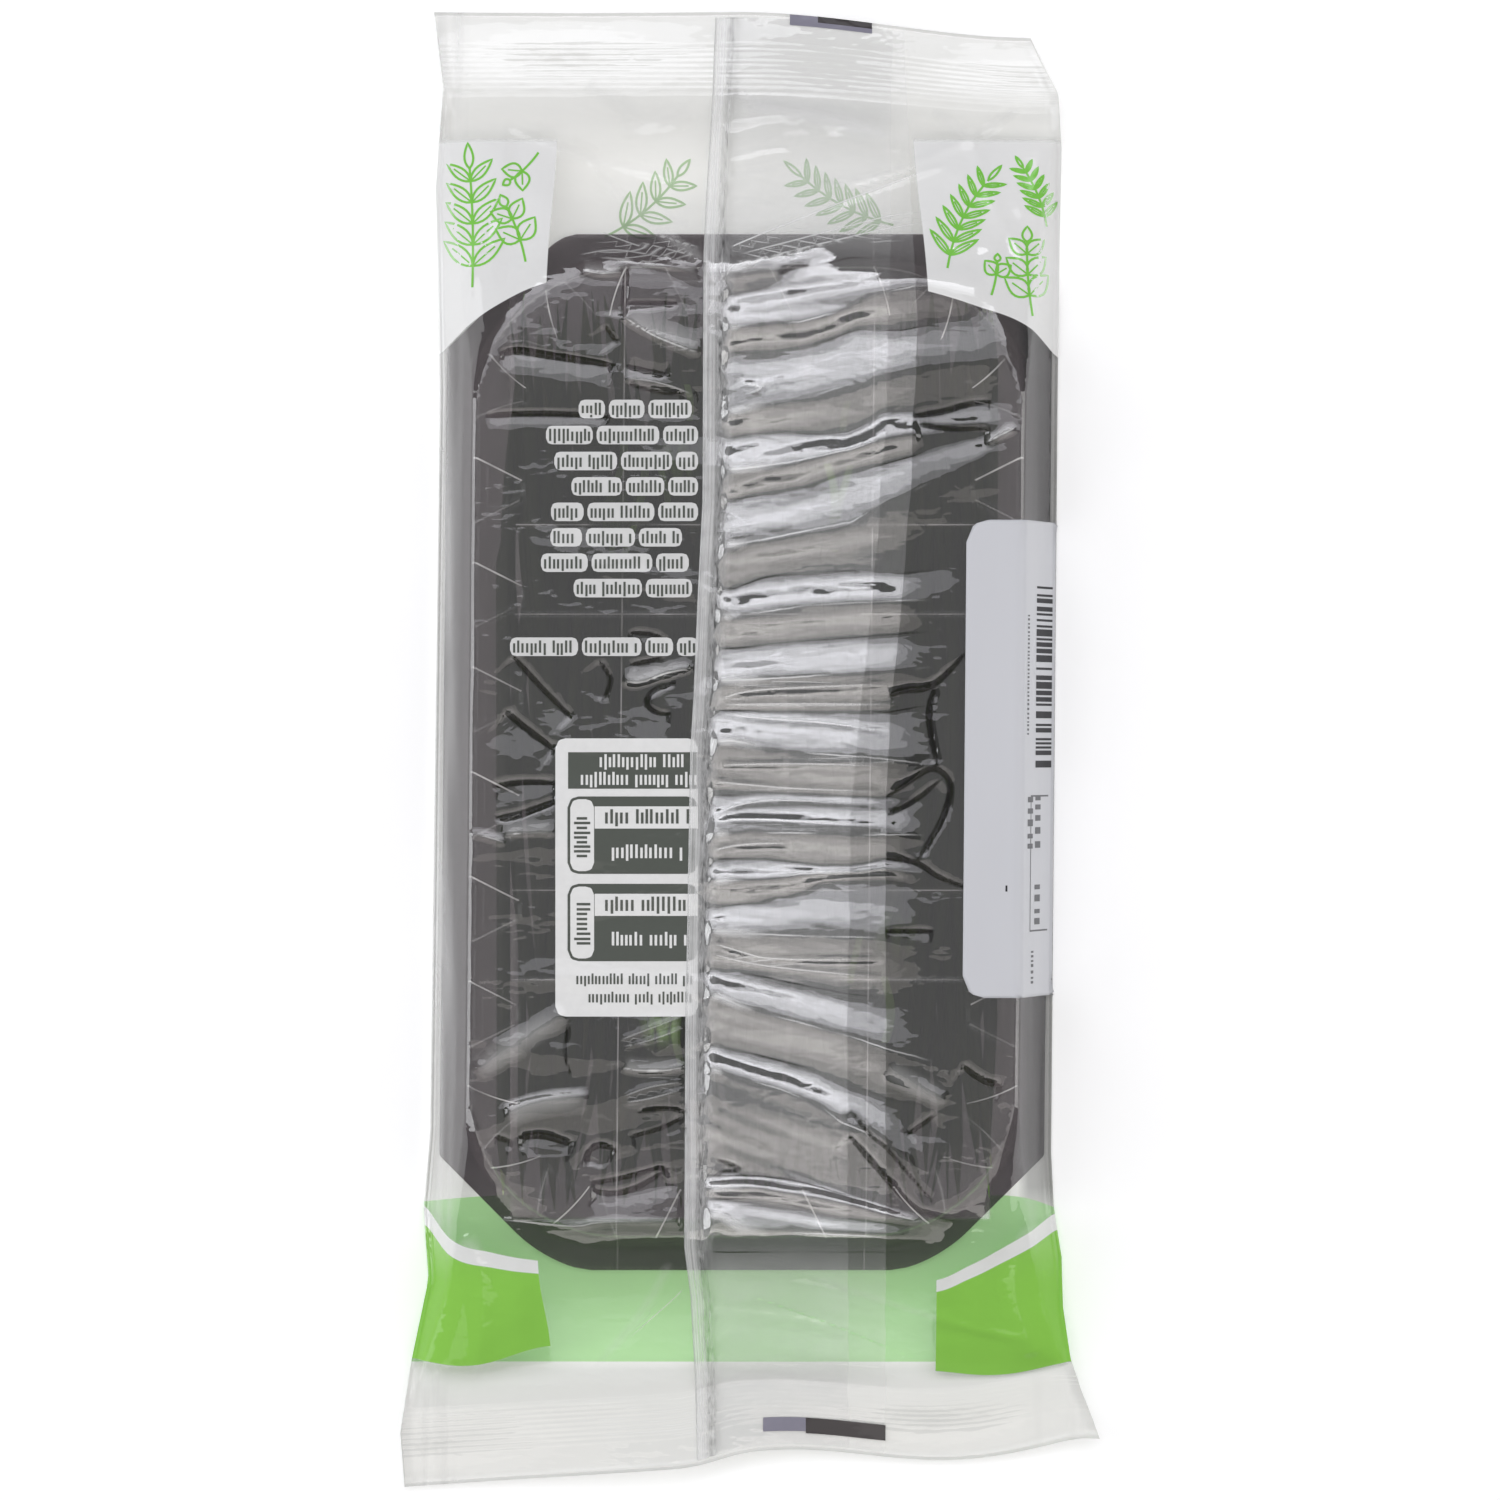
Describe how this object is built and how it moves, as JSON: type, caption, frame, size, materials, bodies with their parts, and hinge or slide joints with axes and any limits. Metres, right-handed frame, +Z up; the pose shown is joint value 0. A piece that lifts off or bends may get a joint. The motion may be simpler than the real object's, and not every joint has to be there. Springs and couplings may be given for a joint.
{
  "type": "flow-wrapped tray of fresh chives",
  "caption": "Clear film pack of fresh chives in a dark tray, lying on its face, with crimped end seals, a folded back seam and a wrap-round price label.",
  "frame": {"origin": "centre of the pack's footprint, on the surface it lies on", "axes": "+Z up out of the pack's back, +Y along the pack towards its top end seal, +X towards the side with the price label"},
  "size_m": [0.128, 0.27, 0.0232],
  "materials": {
    "film": "thin clear film, high gloss, creased and faintly hazy, printed white and green towards both ends",
    "label": "smooth coated white paper with plain grey bars",
    "tray": "smoky dark thermoformed plastic, glossy",
    "chives": "fresh green leaf, satin, pale at the cut ends",
    "print": "opaque ink under gloss film, white and leaf green"
  },
  "bodies": {
    "root": {"bag": "film", "label": "label"}
  },
  "joints": []
}
